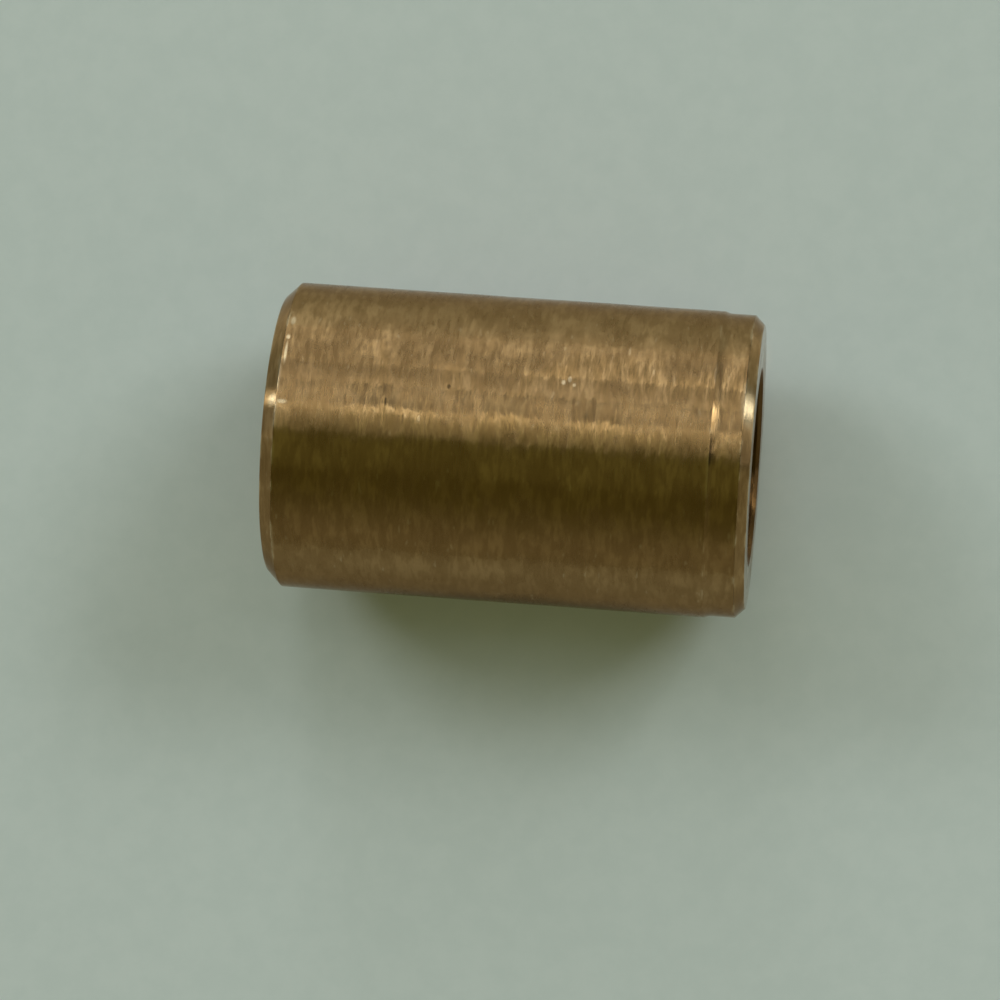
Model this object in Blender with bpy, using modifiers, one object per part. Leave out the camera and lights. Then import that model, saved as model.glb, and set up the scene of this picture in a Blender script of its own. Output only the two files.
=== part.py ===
"""Bronze sleeve bushing, turned from one piece of bar.

The sleeve lies on its side: its bore runs along X, the end with the stepped pilot faces +X, and
the origin is the middle of the bore. A plain running bore goes right through it. The outside is
the press-fit diameter, except for a short pilot of slightly smaller diameter that starts the
sleeve into its housing. The outside comes down to the pilot in a shallow concave shoulder, as the
nose of the turning tool left it. Both ends have flat annular faces, a chamfer outside and a small
broken edge at the bore.
"""

import math

import bpy
from mathutils import Euler

# Driving dimensions, in metres.
LENGTH = 0.025
OUTER_DIAMETER = 0.016
BORE_DIAMETER = 0.010
PILOT_DIAMETER = 0.0158
PILOT_LENGTH = 0.0021
SHOULDER_LENGTH = 0.00045
PILOT_CHAMFER = 0.0005
BACK_CHAMFER = 0.0007
BORE_CHAMFER = 0.0002

# The turned surface is this many flats round, with one of them at the bottom.
FLATS = 96
SHOULDER_STEPS = 4
SMOOTH_BELOW = math.radians(30)

BRONZE_COLOUR = (0.36, 0.21, 0.09, 1.0)


def clear_scene():
    for old in list(bpy.data.objects):
        bpy.data.objects.remove(old, do_unlink=True)


def part_collection(name):
    collection = bpy.data.collections.new(name)
    bpy.context.scene.collection.children.link(collection)
    return collection


def bronze_material():
    material = bpy.data.materials.new("bronze")
    material.use_nodes = True
    surface = material.node_tree.nodes["Principled BSDF"]
    surface.inputs["Base Color"].default_value = BRONZE_COLOUR
    surface.inputs["Metallic"].default_value = 1.0
    surface.inputs["Roughness"].default_value = 0.38
    return material


def shoulder_points():
    """(radius, height) points of the concave shoulder, from where it leaves the pilot out to its edge."""
    pilot = PILOT_DIAMETER / 2
    edge_height = LENGTH / 2 - PILOT_LENGTH
    rise = (OUTER_DIAMETER - PILOT_DIAMETER) / 2
    nose = (SHOULDER_LENGTH**2 + rise**2) / (2 * rise)
    points = []
    for i in range(SHOULDER_STEPS + 1):
        along = SHOULDER_LENGTH * i / SHOULDER_STEPS
        lift = nose - math.sqrt(nose**2 - along**2)
        points.append((pilot + lift, edge_height + SHOULDER_LENGTH - along))
    return points


def sleeve_profile():
    """(radius, height) points of the half section, starting at the pilot face's bore edge.

    They run out along the pilot face, down the outside, in along the back face and up the bore.
    """
    outer = OUTER_DIAMETER / 2
    pilot = PILOT_DIAMETER / 2
    bore = BORE_DIAMETER / 2
    top = LENGTH / 2
    back = -LENGTH / 2
    return [
        (bore + BORE_CHAMFER, top),
        (pilot - PILOT_CHAMFER, top),
        (pilot, top - PILOT_CHAMFER),
        *shoulder_points(),
        (outer, back + BACK_CHAMFER),
        (outer - BACK_CHAMFER, back),
        (bore + BORE_CHAMFER, back),
        (bore, back + BORE_CHAMFER),
        (bore, top - BORE_CHAMFER),
    ]


def turned_mesh(name, profile):
    """The profile turned once round Z, as a closed mesh with a flat facing local +X."""
    half_step = math.pi / FLATS
    points = [
        (radius * math.cos(half_step), radius * math.sin(half_step), height)
        for radius, height in profile
    ]
    edges = [(i, (i + 1) % len(points)) for i in range(len(points))]
    outline = bpy.data.meshes.new(name + "_outline")
    outline.from_pydata(points, edges, [])
    guide = bpy.data.objects.new(name + "_guide", outline)
    bpy.context.scene.collection.objects.link(guide)

    turn = guide.modifiers.new("turn", "SCREW")
    turn.axis = "Z"
    turn.angle = math.tau
    turn.steps = FLATS
    turn.render_steps = FLATS
    turn.use_merge_vertices = True
    turn.merge_threshold = 1e-6

    graph = bpy.context.evaluated_depsgraph_get()
    mesh = bpy.data.meshes.new_from_object(guide.evaluated_get(graph))
    mesh.name = name
    bpy.data.objects.remove(guide, do_unlink=True)
    bpy.data.meshes.remove(outline)
    mesh.shade_smooth()
    mesh.set_sharp_from_angle(angle=SMOOTH_BELOW)
    return mesh


def add_sleeve(collection):
    """The sleeve, tipped over so that its pilot end faces +X and one flat is at the bottom."""
    mesh = turned_mesh("bushing_sleeve", sleeve_profile())
    mesh.materials.clear()
    mesh.materials.append(bronze_material())
    sleeve = bpy.data.objects.new("bushing_sleeve", mesh)
    sleeve.rotation_euler = Euler((0.0, math.pi / 2, 0.0))
    collection.objects.link(sleeve)
    return sleeve


def main():
    clear_scene()
    collection = part_collection("bronze_sleeve_bushing")
    add_sleeve(collection)
    bpy.context.view_layer.update()


main()
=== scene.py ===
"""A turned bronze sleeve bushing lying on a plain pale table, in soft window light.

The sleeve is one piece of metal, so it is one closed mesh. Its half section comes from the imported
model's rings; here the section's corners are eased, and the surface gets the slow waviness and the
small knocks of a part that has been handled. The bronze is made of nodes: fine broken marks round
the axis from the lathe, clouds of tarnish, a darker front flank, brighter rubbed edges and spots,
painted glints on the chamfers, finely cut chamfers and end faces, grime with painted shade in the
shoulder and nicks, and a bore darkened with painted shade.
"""

import math

import bpy
import numpy as np
from mathutils import Matrix, Vector


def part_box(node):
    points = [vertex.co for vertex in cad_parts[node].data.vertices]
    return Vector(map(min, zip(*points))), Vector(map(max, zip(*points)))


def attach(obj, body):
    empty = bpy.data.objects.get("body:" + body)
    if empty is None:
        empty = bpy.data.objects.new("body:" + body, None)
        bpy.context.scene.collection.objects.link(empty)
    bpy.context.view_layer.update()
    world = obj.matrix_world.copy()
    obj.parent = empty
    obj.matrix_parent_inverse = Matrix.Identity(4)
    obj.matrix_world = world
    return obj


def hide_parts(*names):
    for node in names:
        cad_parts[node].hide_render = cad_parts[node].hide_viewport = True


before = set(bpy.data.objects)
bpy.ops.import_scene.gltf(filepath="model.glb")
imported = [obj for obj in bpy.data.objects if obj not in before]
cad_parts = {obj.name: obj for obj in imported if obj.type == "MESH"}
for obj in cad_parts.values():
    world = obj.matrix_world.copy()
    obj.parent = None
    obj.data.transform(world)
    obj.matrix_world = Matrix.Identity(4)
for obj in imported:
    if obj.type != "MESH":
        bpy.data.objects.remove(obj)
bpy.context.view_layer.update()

MM = 0.001
SLEEVE = "bushing_sleeve"
TABLE_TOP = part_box(SLEEVE)[0].z
OUTSIDE_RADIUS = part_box(SLEEVE)[1].z


# ---------------------------------------------------------------- shape

# How finely the turned surface is cut: flats round it, and steps along the section.
FLATS = 224
OUTSIDE_PITCH = 0.105 * MM
BORE_PITCH = 0.55 * MM
EDGE_RADIUS = 0.06 * MM
EDGE_STEPS = 4

# The arc at a corner takes up at most this share of the straight on each side of it.
LONGEST_REACH = 0.4

# A straight of the section is in the bore when it keeps this close to the smallest radius.
BORE_TOLERANCE = 0.01 * MM

# A ring belongs to the outside beyond this share of the outer radius. The waves and knocks come in
# from there, fully after this much more.
OUTSIDE_SHARE = 0.8
OUTSIDE_FADE = 0.1


def section_corners():
    """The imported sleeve's half section as (x, radius) corners: outside from +X to -X, then the bore back."""
    rings = set()
    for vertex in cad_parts[SLEEVE].data.vertices:
        radius = math.hypot(vertex.co.y, vertex.co.z)
        rings.add((round(vertex.co.x, 6), round(radius, 6)))
    radii = [radius for _, radius in rings]
    middle = (min(radii) + max(radii)) / 2
    outside = sorted((ring for ring in rings if ring[1] > middle), reverse=True)
    inside = sorted(ring for ring in rings if ring[1] <= middle)
    return [Vector(ring) for ring in outside + inside]


def eased(corners):
    """The closed section with each corner turned into a small arc."""
    outline = []
    count = len(corners)
    for i, corner in enumerate(corners):
        before = corners[i - 1] - corner
        after = corners[(i + 1) % count] - corner
        half_angle = before.angle(after) / 2
        reach = EDGE_RADIUS / math.tan(half_angle)
        reach = min(reach, LONGEST_REACH * before.length, LONGEST_REACH * after.length)
        start = corner + before.normalized() * reach
        end = corner + after.normalized() * reach
        for step in range(EDGE_STEPS + 1):
            t = step / EDGE_STEPS
            outline.append(start * (1 - t) ** 2 + corner * 2 * t * (1 - t) + end * t * t)
    return outline


def section_rings():
    """Arrays (x, radius, run, normal x, normal radius) of the section's rings, and the whole run.

    The run of a ring is its distance along the section from the first ring.
    """
    corners = section_corners()
    bore = min(corner.y for corner in corners)
    outline = eased(corners)
    points = []
    for i, start in enumerate(outline):
        end = outline[(i + 1) % len(outline)]
        in_bore = max(start.y, end.y) < bore + BORE_TOLERANCE
        pitch = BORE_PITCH if in_bore else OUTSIDE_PITCH
        steps = max(1, math.ceil((end - start).length / pitch))
        points += [start.lerp(end, step / steps) for step in range(steps)]
    line = np.array(points)
    around = np.roll(line, -1, axis=0) - line
    lengths = np.hypot(*around.T)
    run = np.concatenate([[0.0], np.cumsum(lengths)[:-1]])
    tangent = np.roll(line, -1, axis=0) - np.roll(line, 1, axis=0)
    tangent /= np.hypot(*tangent.T)[:, None]
    return line[:, 0], line[:, 1], run, -tangent[:, 1], tangent[:, 0], lengths.sum()


def waves(rng, count, lengths, rounds):
    """A smooth random field of (x, angle) that closes on itself round the axis, about -1 to 1."""
    parts = []
    for _ in range(count):
        turns = int(rng.integers(*rounds))
        wave = math.tau / rng.uniform(*lengths) * rng.choice([-1, 1])
        parts.append((turns, wave, rng.uniform(0, math.tau), rng.uniform(0.5, 1.0)))
    total = math.sqrt(sum(part[3] ** 2 for part in parts) / 2)

    def field(x, angle):
        found = 0.0
        for turns, wave, phase, size in parts:
            found = found + size * np.sin(wave * x + turns * angle + phase)
        return found / (2 * total)

    return field


SURFACE_SEED = 16

# Each kind of waviness as (how many waves, range of wavelengths along X, range of whole times round
# the axis, whose upper end is left out), and its height.
SLOW_WAVES = (9, (3.5 * MM, 9 * MM), (6, 14))
SLOW_WAVE_HEIGHT = 0.0050 * MM
RIPPLE_WAVES = (7, (0.9 * MM, 1.8 * MM), (0, 3))
RIPPLE_HEIGHT = 0.0008 * MM

# Knocks that show on the upper side, as (x, angle from the top towards +Y, half length along X,
# half length round, depth), in millimetres and degrees.
SEEN_KNOCKS = [
    (-6.2, 14.5, 0.12, 0.30, 0.020),
    (2.9, 27.0, 0.16, 0.20, 0.010),
    (11.9, 51.0, 0.16, 0.16, 0.030),
]

# Knocks scattered at random: how many, and the ranges of their half length along X, of their half
# length round as a multiple of that, and of their depth, in millimetres.
SCATTERED_KNOCKS = 34
KNOCK_ALONG = (0.08, 0.16)
KNOCK_STRETCH = (0.8, 2.6)
KNOCK_DEPTH = (0.004, 0.012)

# The raised rim round a knock's hollow: its height as a share of the depth, and how fast it falls
# away compared with the hollow.
RIM_HEIGHT = 0.35
RIM_FALL = 0.35


def knocks(rng, half_length):
    """The knocks that show, and others scattered all over the outside."""
    made = list(SEEN_KNOCKS)
    for _ in range(SCATTERED_KNOCKS):
        x = rng.uniform(-half_length, half_length) / MM
        angle = rng.uniform(0, 360)
        along = rng.uniform(*KNOCK_ALONG)
        round_it = along * rng.uniform(*KNOCK_STRETCH)
        made.append((x, angle, along, round_it, rng.uniform(*KNOCK_DEPTH)))
    return made


def surface_offset(x, radius, angle, outer):
    """How far each point of the (ring, angle) grid stands off the plain turned shape, in metres."""
    rng = np.random.default_rng(SURFACE_SEED)
    outside = np.clip((radius - OUTSIDE_SHARE * outer) / (OUTSIDE_FADE * outer), 0, 1)
    slow = waves(rng, *SLOW_WAVES)
    ripple = waves(rng, *RIPPLE_WAVES)
    offset = outside * (SLOW_WAVE_HEIGHT * slow(x, angle) + RIPPLE_HEIGHT * ripple(x, angle))
    for at, turned, along, round_it, depth in knocks(rng, x.max()):
        away = (angle - math.radians(turned) + math.pi) % math.tau - math.pi
        spread = ((x - at * MM) / (along * MM)) ** 2 + (away * radius / (round_it * MM)) ** 2
        rim = RIM_HEIGHT * np.exp(-RIM_FALL * spread)
        hollow = (1 + RIM_HEIGHT) * np.exp(-spread)
        offset = offset + outside * depth * MM * (rim - hollow)
    return offset


def grid_mesh(name, places):
    """A closed mesh from a grid of points that joins up in both directions."""
    rings, flats = places.shape[:2]
    index = np.arange(rings * flats).reshape(rings, flats)
    next_ring = np.roll(index, -1, axis=0)
    corners = [index, np.roll(index, -1, axis=1), np.roll(next_ring, -1, axis=1), next_ring]
    faces = np.stack(corners, axis=-1).reshape(-1, 4)
    mesh = bpy.data.meshes.new(name)
    mesh.from_pydata(places.reshape(-1, 3).tolist(), [], faces.tolist())
    mesh.shade_smooth()
    return mesh


def write_values(mesh, name, domain, values):
    made = mesh.attributes.new(name, "FLOAT", domain)
    made.data.foreach_set("value", np.ascontiguousarray(values, np.float32).ravel())


def write_run(mesh, run, whole_run):
    """The run along the section, in millimetres, at each face's corners, so that it doesn't jump."""
    run_mm = run / MM
    next_mm = np.append(run_mm[1:], whole_run / MM)
    corner_runs = np.stack([run_mm, run_mm, next_mm, next_mm], axis=-1)
    write_values(mesh, "run_mm", "CORNER", np.repeat(corner_runs[:, None, :], FLATS, axis=1))


# How sharply the section bends, as a change of its normal, where an edge counts in full.
EDGE_BEND = 0.3

# Each zone below as the X part of a ring's normal where it starts, and how much more makes it full.
END_FACE_SLOPE = (0.9, 0.08)
CHAMFER_SLOPE = (0.45, 0.2)

# Grime with painted shade in the shoulder: half of it wherever the shoulder slopes, and the rest where it is
# steep.
SHOULDER_ANY_SLOPE = (0.0, 0.06)
SHOULDER_STEEP_SLOPE = (0.25, 0.15)

# The shoulder and pilot lie at least this much below the body; the grime and painted shade stop
# this far from the end face, before the pilot's chamfer.
BELOW_BODY = 0.003 * MM
CLEAR_OF_END = 1.0 * MM

# The bore zone takes in the broken edge at each end of the bore.
BORE_DEPTH = 0.25 * MM


def rise(values, start, length):
    """0 up to start, 1 from start + length on, and evenly in between."""
    return np.clip((values - start) / length, 0, 1)


def write_zones(mesh, x, radius, normal_x, normal_r):
    """How far each ring is an edge, an end face, the pilot's shoulder, a chamfer or the bore."""
    half_length, bore, outer = x.max(), radius.min(), radius.max()
    outside = radius > OUTSIDE_SHARE * outer
    bend = np.abs(np.roll(normal_x, -1) - np.roll(normal_x, 1)) + np.abs(
        np.roll(normal_r, -1) - np.roll(normal_r, 1)
    )
    facing_out = np.abs(normal_x)
    on_pilot_side = (x > 0) * (x < half_length - CLEAR_OF_END)
    below_body = outside * (radius < outer - BELOW_BODY) * on_pilot_side
    # Grime with painted shade in the shoulder's hollow.
    grime_and_shade_share = 0.5 * rise(normal_x, *SHOULDER_ANY_SLOPE) + 0.5 * rise(normal_x, *SHOULDER_STEEP_SLOPE)
    zones = {
        "edge": rise(bend, 0.0, EDGE_BEND) * outside,
        "end_face": rise(facing_out, *END_FACE_SLOPE),
        # The shoulder zone carries grime with painted shade, and extra roughness.
        "corner": grime_and_shade_share * below_body,
        "chamfer": rise(facing_out, *CHAMFER_SLOPE) * outside,
        "in_bore": (radius < bore + BORE_DEPTH).astype(float),
    }
    for name, values in zones.items():
        write_values(mesh, name, "POINT", np.repeat(values[:, None], FLATS, axis=1))


def make_sleeve():
    x, radius, run, normal_x, normal_r, whole_run = section_rings()
    angle = (np.arange(FLATS) + 0.5) * math.tau / FLATS
    grid_x, grid_r = x[:, None], radius[:, None]
    offset = surface_offset(grid_x, grid_r, angle[None, :], radius.max())
    out_r = grid_r + normal_r[:, None] * offset
    places = np.stack([
        grid_x + normal_x[:, None] * offset,
        out_r * np.sin(angle),
        out_r * np.cos(angle),
    ], axis=-1)
    mesh = grid_mesh(SLEEVE + "_turned", places)
    write_run(mesh, run, whole_run)
    write_zones(mesh, x, radius, normal_x, normal_r)
    sleeve = bpy.data.objects.new(SLEEVE + "_turned", mesh)
    bpy.context.scene.collection.objects.link(sleeve)
    return sleeve


# ---------------------------------------------------------------- bronze


class Nodes:
    """Short calls for building a material's nodes."""

    def __init__(self, tree):
        self.tree = tree

    def put(self, value, socket):
        """Link an output to the socket, or set the socket to a plain value."""
        if isinstance(value, bpy.types.NodeSocket):
            self.tree.links.new(value, socket)
        else:
            socket.default_value = value

    def add(self, kind, inputs=None, **settings):
        node = self.tree.nodes.new(kind)
        for name, value in settings.items():
            setattr(node, name, value)
        for key, value in (inputs or {}).items():
            self.put(value, node.inputs[key])
        return node

    def math(self, operation, a, b=0.0, clamp=False):
        inputs = {0: a, 1: b}
        return self.add("ShaderNodeMath", inputs, operation=operation, use_clamp=clamp).outputs[0]

    def attribute(self, name):
        return self.add("ShaderNodeAttribute", attribute_name=name).outputs["Fac"]

    def noise(self, vector, detail=2.0, roughness=0.5, scale=1.0):
        inputs = {"Vector": vector, "Scale": scale, "Detail": detail, "Roughness": roughness}
        return self.add("ShaderNodeTexNoise", inputs).outputs["Fac"]

    def ramp(self, value, low, high, to_low=0.0, to_high=1.0):
        inputs = {0: value, 1: low, 2: high, 3: to_low, 4: to_high}
        return self.add("ShaderNodeMapRange", inputs, interpolation_type="SMOOTHSTEP").outputs[0]

    def mix(self, share, a, b):
        inputs = {0: share, 6: a, 7: b}
        return self.add("ShaderNodeMix", inputs, data_type="RGBA").outputs[2]


# Bare metal, its paler and browner marks, and what handling has made of it, with painted glints on
# the chamfers; the darker front flank; grime with painted shade; painted shade for the bore.
BRONZE = (0.345, 0.202, 0.086, 1.0)
BRONZE_PALE = (0.435, 0.263, 0.118, 1.0)
BRONZE_BROWN = (0.288, 0.163, 0.065, 1.0)
# Rubbed metal; also the colour of the painted glints on the chamfers.
BRONZE_RUBBED_AND_GLINT = (0.66, 0.49, 0.30, 1.0)
# The darker colour of the front flank.
BRONZE_FLANK_DARK = (0.20, 0.11, 0.042, 1.0)
# Grime with painted shade, for the shoulder and the nicks.
BRONZE_GRIME_AND_SHADE = (0.13, 0.075, 0.028, 1.0)
# Painted shade for the bore.
BORE_SHADE_BROWN = (0.12, 0.055, 0.016, 1.0)
GRAZING_TINT = (0.78, 0.66, 0.58, 1.0)

# Marks round the axis: width along the section and length round it, in millimetres, then the
# noise's detail and roughness.
MARKS = {
    "fine": (0.19, 0.9, 2.0, 0.5),
    "cells": (0.42, 1.5, 2.0, 0.6),
    "broad": (0.9, 2.4, 2.0, 0.5),
    "long": (0.12, 7.0, 1.0, 0.5),
    "flecks": (0.24, 0.8, 1.0, 0.5),
}

# Marks with no direction: their size, then the noise's detail and roughness.
ROUND_MARKS = {
    "clouds": (2.6 * MM, 3.0, 0.55),
    "specks": (0.20 * MM, 1.0, 0.5),
}

# The noise values between which each of these comes in.
PALE_CELLS = (0.42, 0.60)
RUBBED_CELLS = (0.50, 0.62)
BRIGHT_FLECKS = (0.68, 0.80)
SUNK_SPECKS = (0.66, 0.80)

# What turns the metal browner: from and to these noise values, up to this share.
BROWN_MARKS = [
    ("fine", 0.50, 0.72, 0.50),
    ("clouds", 0.42, 0.66, 0.55),
    ("broad", 0.52, 0.70, 0.40),
]

# The front flank, towards -Y, is darker: by this share beyond the first of these places
# along Y, and not at all behind the second. Both are in outside radii.
FLANK_DARKENING = 0.45
FLANK_FROM_TO = (-0.88, -0.72)

# How much of the full effect each of these has.
FLECK_SHARE = 0.35
# Rubbed metal and the painted glints on the chamfers.
RUBBED_AND_GLINT_SHARE = 0.8
# Grime with painted shade in the shoulder.
SHOULDER_GRIME_AND_SHADE = 0.5
# Grime with painted shade in the nicks.
NICK_GRIME_AND_SHADE = 0.85
# Painted shade in the bore.
BORE_SHADE_SHARE = 0.85

# Height of each kind of mark, in millimetres, and how much lower they all are where finely cut.
MARK_HEIGHTS = [("fine", 0.008), ("cells", 0.022), ("broad", 0.030), ("long", 0.0035)]
SPECK_DEPTH = 0.0010
FINE_CUT_LOWER = 0.75

# How rough the metal is outside its clouds and in them, and the noise values between which that
# changes; then what is added to it or taken from it.
ROUGHNESS = (0.20, 0.27)
ROUGH_CLOUDS = (0.35, 0.65)
FINE_MARKS_VARY = 0.03
ROUGH_FINE_MARKS = (0.3, 0.7)
CHAMFER_SMOOTHER = 0.05
FACE_SMOOTHER = 0.13
WORN_SMOOTHER = 0.04
SHOULDER_ROUGHER = 0.5

# Marks on the upper side, as (x, angle from the top towards +Y, half length along X, half length
# round), in millimetres and degrees: first the spots made bright, polished by handling except the
# last two, which are painted glints on the chamfers; then the nicks from handling, with grime and
# painted shade in them. The blur is the share of a mark's size over which it fades.
SPOT_AND_GLINT_BLUR = 0.5
NICK_BLUR = 0.3
POLISHED_SPOTS_AND_GLINTS = [
    (2.75, 26.8, 0.10, 0.13),
    (3.05, 28.2, 0.09, 0.16),
    (3.30, 26.0, 0.08, 0.10),
    (-11.5, 47.0, 0.12, 0.28),
    (-11.6, 38.5, 0.10, 0.14),
    (-11.6, 31.5, 0.07, 0.60),
    (-11.5, 12.0, 0.24, 0.10),
    # The last two are painted glints on the chamfers, not polished spots.
    (-12.2, 12.5, 0.35, 0.40),
    (12.25, 23.0, 0.35, 1.00),
]
# Nicks darkened with grime and painted shade.
NICKS_WITH_GRIME_AND_SHADE = [
    (-6.2, 14.5, 0.055, 0.24),
    (-3.05, 22.0, 0.09, 0.12),
    (12.0, 51.5, 0.12, 0.10),
    (12.2, 49.5, 0.12, 0.10),
]


def turned_vector(nodes, run, position, run_size, round_size):
    """Texture coordinates for marks run_size wide along the section and round_size long round it, in mm."""
    parts = nodes.add("ShaderNodeSeparateXYZ", {0: position})
    along = nodes.math("DIVIDE", run, run_size)
    across = nodes.math("MULTIPLY", parts.outputs["Y"], 1 / (MM * round_size))
    up = nodes.math("MULTIPLY", parts.outputs["Z"], 1 / (MM * round_size))
    return nodes.add("ShaderNodeCombineXYZ", {0: along, 1: across, 2: up}).outputs[0]


def spots(nodes, position, marks, blur):
    """1 inside any of these marks and 0 away from them, fading over the share blur of their size."""
    found = 0.0
    for x, turned, along, round_it in marks:
        turn = math.radians(turned)
        place = Vector((x * MM, OUTSIDE_RADIUS * math.sin(turn), OUTSIDE_RADIUS * math.cos(turn)))
        size = Vector((along, round_it, round_it)) * MM
        away = nodes.add("ShaderNodeVectorMath", {0: position, 1: place}, operation="SUBTRACT")
        scaled = nodes.add("ShaderNodeVectorMath", {0: away.outputs[0], 1: size}, operation="DIVIDE")
        length = nodes.add("ShaderNodeVectorMath", {0: scaled.outputs[0]}, operation="LENGTH")
        near = nodes.ramp(length.outputs["Value"], 1.0 - blur, 1.0 + blur, 1.0, 0.0)
        found = nodes.math("MAXIMUM", near, found)
    return found


def bronze_patterns(nodes, position):
    """Every noise that the bronze uses, by name."""
    run = nodes.attribute("run_mm")
    patterns = {}
    for name, (width, length, detail, roughness) in MARKS.items():
        vector = turned_vector(nodes, run, position, width, length)
        patterns[name] = nodes.noise(vector, detail, roughness)
    for name, (size, detail, roughness) in ROUND_MARKS.items():
        patterns[name] = nodes.noise(position, detail, roughness, scale=1 / size)
    return patterns


def wear_and_glint_share(nodes, position, patterns):
    """Where the metal is made bright: rubbed along edges, in small flecks and in the polished spots, and as
    painted glints on the chamfers.
    """
    broken = nodes.ramp(patterns["cells"], *RUBBED_CELLS)
    on_edges = nodes.math("MULTIPLY", nodes.attribute("edge"), broken)
    flecks = nodes.ramp(patterns["flecks"], *BRIGHT_FLECKS, 0.0, FLECK_SHARE)
    wear_and_glints = nodes.math("MAXIMUM", on_edges, flecks)
    # The polished spots include the painted glints on the chamfers.
    polished_and_glints = spots(nodes, position, POLISHED_SPOTS_AND_GLINTS, SPOT_AND_GLINT_BLUR)
    return nodes.math("MAXIMUM", wear_and_glints, polished_and_glints)


def bronze_colour(nodes, position, patterns, wear_and_glints):
    """Pale and brown marks, a darker front flank, rubbed metal with painted glints, grime with painted shade
    in the shoulder and nicks, and painted shade in the bore.
    """
    colour = nodes.mix(nodes.ramp(patterns["cells"], *PALE_CELLS), BRONZE, BRONZE_PALE)
    for name, low, high, share in BROWN_MARKS:
        colour = nodes.mix(nodes.ramp(patterns[name], low, high, 0.0, share), colour, BRONZE_BROWN)
    # Darker towards the front flank, -Y.
    across = nodes.add("ShaderNodeSeparateXYZ", {0: position}).outputs["Y"]
    full, none = (share * OUTSIDE_RADIUS for share in FLANK_FROM_TO)
    flank = nodes.ramp(across, full, none, FLANK_DARKENING, 0.0)
    colour = nodes.mix(flank, colour, BRONZE_FLANK_DARK)
    # Rubbed metal, and the painted glints on the chamfers.
    colour = nodes.mix(nodes.math("MULTIPLY", wear_and_glints, RUBBED_AND_GLINT_SHARE), colour, BRONZE_RUBBED_AND_GLINT)
    # Grime with painted shade in the shoulder and nicks, and painted shade in the bore.
    shade_and_grime_places = [
        (nodes.attribute("corner"), SHOULDER_GRIME_AND_SHADE, BRONZE_GRIME_AND_SHADE),
        # The nicks get grime with painted shade.
        (spots(nodes, position, NICKS_WITH_GRIME_AND_SHADE, NICK_BLUR), NICK_GRIME_AND_SHADE, BRONZE_GRIME_AND_SHADE),
        # Painted shade in the bore.
        (nodes.attribute("in_bore"), BORE_SHADE_SHARE, BORE_SHADE_BROWN),
    ]
    for place, share, shade_and_grime_colour in shade_and_grime_places:
        colour = nodes.mix(nodes.math("MULTIPLY", place, share), colour, shade_and_grime_colour)
    return colour


def bronze_roughness(nodes, patterns, wear_and_glints, chamfer, face):
    """Uneven with clouds and fine marks, smoother where cut finely, worn or given a painted glint, rougher in
    the shoulder.
    """
    rough = nodes.math(
        "ADD",
        nodes.ramp(patterns["clouds"], *ROUGH_CLOUDS, *ROUGHNESS),
        nodes.ramp(patterns["fine"], *ROUGH_FINE_MARKS, -FINE_MARKS_VARY, FINE_MARKS_VARY),
    )
    for place, less in ((chamfer, CHAMFER_SMOOTHER), (face, FACE_SMOOTHER), (wear_and_glints, WORN_SMOOTHER)):
        rough = nodes.math("SUBTRACT", rough, nodes.math("MULTIPLY", place, less))
    shoulder = nodes.math("MULTIPLY", nodes.attribute("corner"), SHOULDER_ROUGHER)
    return nodes.math("ADD", rough, shoulder)


def bronze_height(nodes, patterns, chamfer, face):
    """The height of the marks, in millimetres, lower on the chamfers and end faces."""
    height = 0.0
    for name, size in MARK_HEIGHTS:
        height = nodes.math("ADD", height, nodes.math("MULTIPLY", patterns[name], size))
    specks = nodes.math("MULTIPLY", nodes.ramp(patterns["specks"], *SUNK_SPECKS), -SPECK_DEPTH)
    height = nodes.math("ADD", height, specks)
    finely_cut = nodes.math("ADD", chamfer, face, clamp=True)
    kept = nodes.math("SUBTRACT", 1.0, nodes.math("MULTIPLY", finely_cut, FINE_CUT_LOWER))
    return nodes.math("MULTIPLY", height, kept)


def bronze():
    material = bpy.data.materials.new("turned_bronze")
    material.use_nodes = True
    nodes = Nodes(material.node_tree)
    surface = material.node_tree.nodes["Principled BSDF"]
    position = nodes.add("ShaderNodeTexCoord").outputs["Object"]
    chamfer = nodes.attribute("chamfer")
    face = nodes.attribute("end_face")
    patterns = bronze_patterns(nodes, position)
    wear_and_glints = wear_and_glint_share(nodes, position, patterns)
    height = bronze_height(nodes, patterns, chamfer, face)
    bump = nodes.add("ShaderNodeBump", {"Strength": 1.0, "Distance": MM, "Height": height})

    # The marks run round the axis, so light spreads along it.
    tangent = nodes.add("ShaderNodeTangent", direction_type="RADIAL", axis="X")
    looks = {
        "Metallic": 1.0,
        "Specular Tint": GRAZING_TINT,
        "Base Color": bronze_colour(nodes, position, patterns, wear_and_glints),
        "Roughness": bronze_roughness(nodes, patterns, wear_and_glints, chamfer, face),
        "Normal": bump.outputs["Normal"],
        "Anisotropic": 1.0,
        "Anisotropic Rotation": 0.25,
        "Tangent": tangent.outputs[0],
    }
    for name, value in looks.items():
        nodes.put(value, surface.inputs[name])
    return material


# ---------------------------------------------------------------- table

TABLE_HALF = 3.0
TABLE_DARKER = (0.80, 0.86, 0.855, 1.0)
TABLE_LIGHTER = (0.83, 0.885, 0.88, 1.0)
TABLE_ROUGHNESS = 0.17

# The table's faint mottle: its size, the noise's detail and roughness, and the noise values between
# which it turns from darker to lighter.
MOTTLE_SIZE = 1.5 * MM
MOTTLE_NOISE = (4.0, 0.6)
MOTTLE_FROM_TO = (0.3, 0.7)


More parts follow.
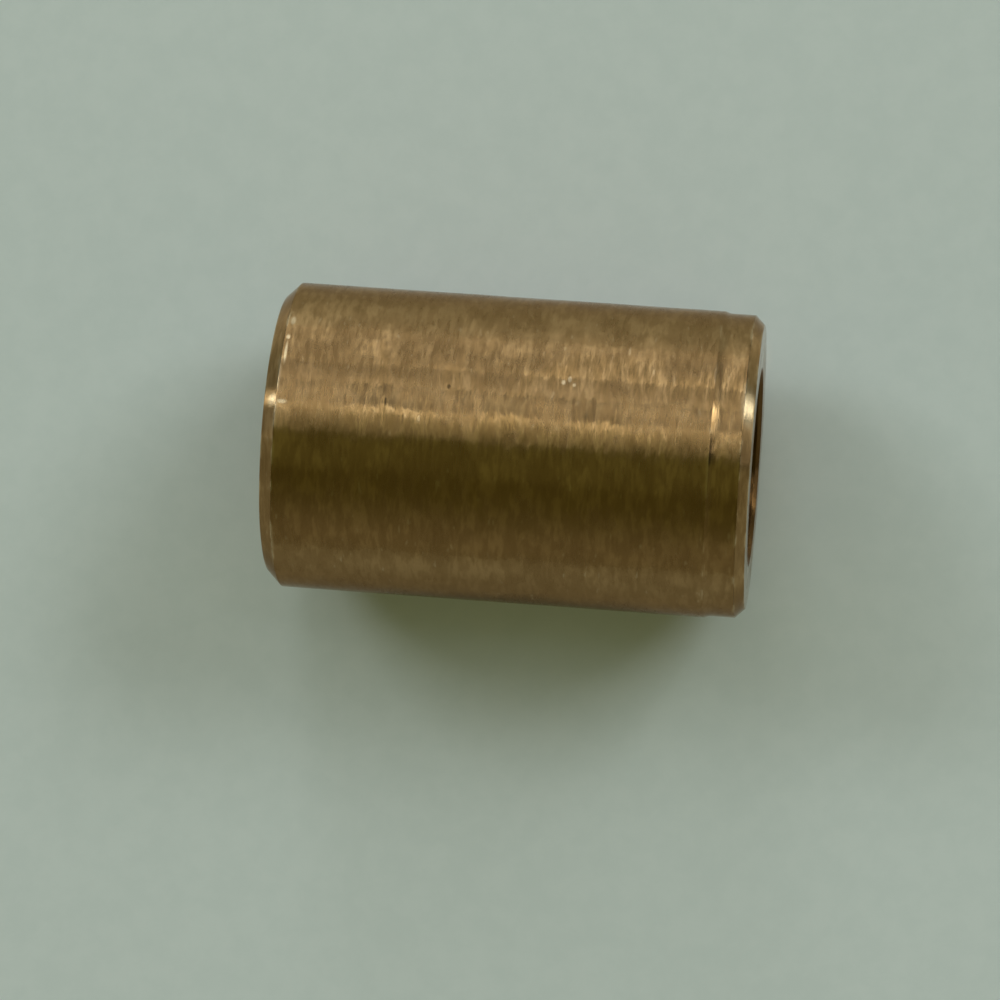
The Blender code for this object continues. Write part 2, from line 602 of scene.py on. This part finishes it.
def table_material():
    material = bpy.data.materials.new("pale_table")
    material.use_nodes = True
    nodes = Nodes(material.node_tree)
    surface = material.node_tree.nodes["Principled BSDF"]
    position = nodes.add("ShaderNodeTexCoord").outputs["Object"]
    mottle = nodes.noise(position, *MOTTLE_NOISE, scale=1 / MOTTLE_SIZE)
    colour = nodes.mix(nodes.ramp(mottle, *MOTTLE_FROM_TO), TABLE_DARKER, TABLE_LIGHTER)
    nodes.put(colour, surface.inputs["Base Color"])
    nodes.put(TABLE_ROUGHNESS, surface.inputs["Roughness"])
    return material


def make_table():
    mesh = bpy.data.meshes.new("table")
    corners = [(-1, -1), (1, -1), (1, 1), (-1, 1)]
    places = [(x * TABLE_HALF, y * TABLE_HALF, TABLE_TOP) for x, y in corners]
    mesh.from_pydata(places, [], [(0, 1, 2, 3)])
    mesh.materials.append(table_material())
    table = bpy.data.objects.new("table", mesh)
    bpy.context.scene.collection.objects.link(table)


# ---------------------------------------------------------------- light

# The room apart from the windows: its front wall low down and high up, its ceiling and its back
# wall. The camera sees a plain pale room past the table.
FRONT_LOW = (0.24, 0.25, 0.17, 1.0)
FRONT_HIGH = (0.115, 0.12, 0.037, 1.0)
CEILING = (0.18, 0.20, 0.076, 1.0)
BACK_WALL = (0.006, 0.006, 0.005, 1.0)
BEYOND_TABLE = (0.40, 0.45, 0.40, 1.0)

# Where one gives way to the next, as parts of a direction one unit long: up the front wall, from
# the front wall to the back one, and from the walls to the ceiling.
FRONT_RISE = (0.15, 0.82)
FRONT_TO_BACK = (-0.05, 0.05)
WALL_TO_CEILING = (0.87, 0.95)


def make_world():
    world = bpy.data.worlds.new("room")
    world.use_nodes = True
    nodes = Nodes(world.node_tree)
    background = world.node_tree.nodes["Background"]
    direction = nodes.add("ShaderNodeTexCoord").outputs["Generated"]
    parts = nodes.add("ShaderNodeSeparateXYZ", {0: direction}).outputs
    front = nodes.mix(nodes.ramp(parts["Z"], *FRONT_RISE), FRONT_LOW, FRONT_HIGH)
    walls = nodes.mix(nodes.ramp(parts["Y"], *FRONT_TO_BACK), front, BACK_WALL)
    room = nodes.mix(nodes.ramp(parts["Z"], *WALL_TO_CEILING), walls, CEILING)
    seen = nodes.add("ShaderNodeLightPath").outputs["Is Camera Ray"]
    nodes.put(nodes.mix(seen, room, BEYOND_TABLE), background.inputs["Color"])
    bpy.context.scene.world = world


# Each window as (name, azimuth, elevation, width, height, radiance), in degrees as seen from the
# sleeve; azimuth 0 is +X and 90 is +Y.
WINDOWS = [
    ("right", 41, 40, 24, 16, 5.4),
    ("right_below", 42, 24, 26, 16, 0.4),
    ("right_low", 25, 4, 8, 8, 5.2),
    ("right_low_side", 10, 5, 18, 10, 1.0),
    ("right_wing", 62, 30, 18, 32, 0.8),
    ("right_sill", 62, 6, 30, 14, 0.45),
    ("left", 145, 40, 20, 16, 5.0),
    ("left_top", 145, 57, 22, 18, 0.5),
    ("left_low", 166, 4, 4, 8, 10.0),
    ("left_low_side", 176, 8, 12, 12, 0.45),
    ("left_wing", 120, 36, 12, 24, 0.9),
    ("back_sill", 94, 4.5, 22, 9.5, 1.35),
    ("back_low", 98, 14, 14, 10, 1.9),
    ("back", 99, 25, 14, 12, 2.2),
    ("back_upper", 99, 39, 14, 18, 1.35),
    ("high_fill", 88, 59, 60, 18, 0.22),
    ("high_strip", 70, 70.7, 40, 3.8, 2.4),
    ("high_glow", 100, 78, 60, 12, 0.26),
]
WINDOW_COLOUR = (0.91, 1.0, 0.98)
WINDOW_DISTANCE = 4.0


def make_window(name, azimuth, elevation, width, height, radiance):
    """A soft rectangular light at these angles that faces the origin."""
    turn, lift = math.radians(azimuth), math.radians(elevation)
    level = math.cos(lift)
    away = Vector((math.cos(turn) * level, math.sin(turn) * level, math.sin(lift)))
    light = bpy.data.lights.new(name, "AREA")
    light.shape = "RECTANGLE"
    light.size = 2 * WINDOW_DISTANCE * math.tan(math.radians(width / 2))
    light.size_y = 2 * WINDOW_DISTANCE * math.tan(math.radians(height / 2))
    light.energy = radiance * math.pi * light.size * light.size_y
    light.color = WINDOW_COLOUR
    lamp = bpy.data.objects.new(name, light)
    lamp.location = away * WINDOW_DISTANCE
    lamp.rotation_mode = "QUATERNION"
    lamp.rotation_quaternion = away.to_track_quat("Z", "Y")
    lamp.visible_camera = False
    bpy.context.scene.collection.objects.link(lamp)


# ---------------------------------------------------------------- camera

# The camera looks down from almost straight above, with the sleeve's axis level across the view
# but turned a few degrees clockwise in it.
CAMERA_PLACE = Vector((21.2, 0.0, 240.0)) * MM
TURN_IN_VIEW = math.radians(4.06)
AIM_RIGHT = -0.9 * MM
AIM_UP = -2.6 * MM
SENSOR_WIDTH = 36.0
FOCAL_LENGTH = 165.6


def make_camera():
    right = Vector((math.cos(TURN_IN_VIEW), math.sin(TURN_IN_VIEW), 0.0))
    up = Vector((-math.sin(TURN_IN_VIEW), math.cos(TURN_IN_VIEW), 0.0))
    aim = right * AIM_RIGHT + up * AIM_UP
    data = bpy.data.cameras.new("camera")
    data.sensor_width = SENSOR_WIDTH
    data.lens = FOCAL_LENGTH
    data.clip_start = 0.01
    data.clip_end = 20.0
    camera = bpy.data.objects.new("camera", data)
    camera.location = CAMERA_PLACE
    back = (CAMERA_PLACE - aim).normalized()
    side = up.cross(back).normalized()
    turned = Matrix((side, back.cross(side), back)).transposed()
    camera.rotation_euler = turned.to_euler()
    bpy.context.scene.collection.objects.link(camera)
    bpy.context.scene.camera = camera


def main():
    make_camera()
    sleeve = make_sleeve()
    sleeve.data.materials.append(bronze())
    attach(sleeve, "root")
    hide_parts(SLEEVE)
    make_table()
    make_world()
    for window in WINDOWS:
        make_window(*window)
    bpy.context.scene.view_settings.view_transform = "Standard"


main()
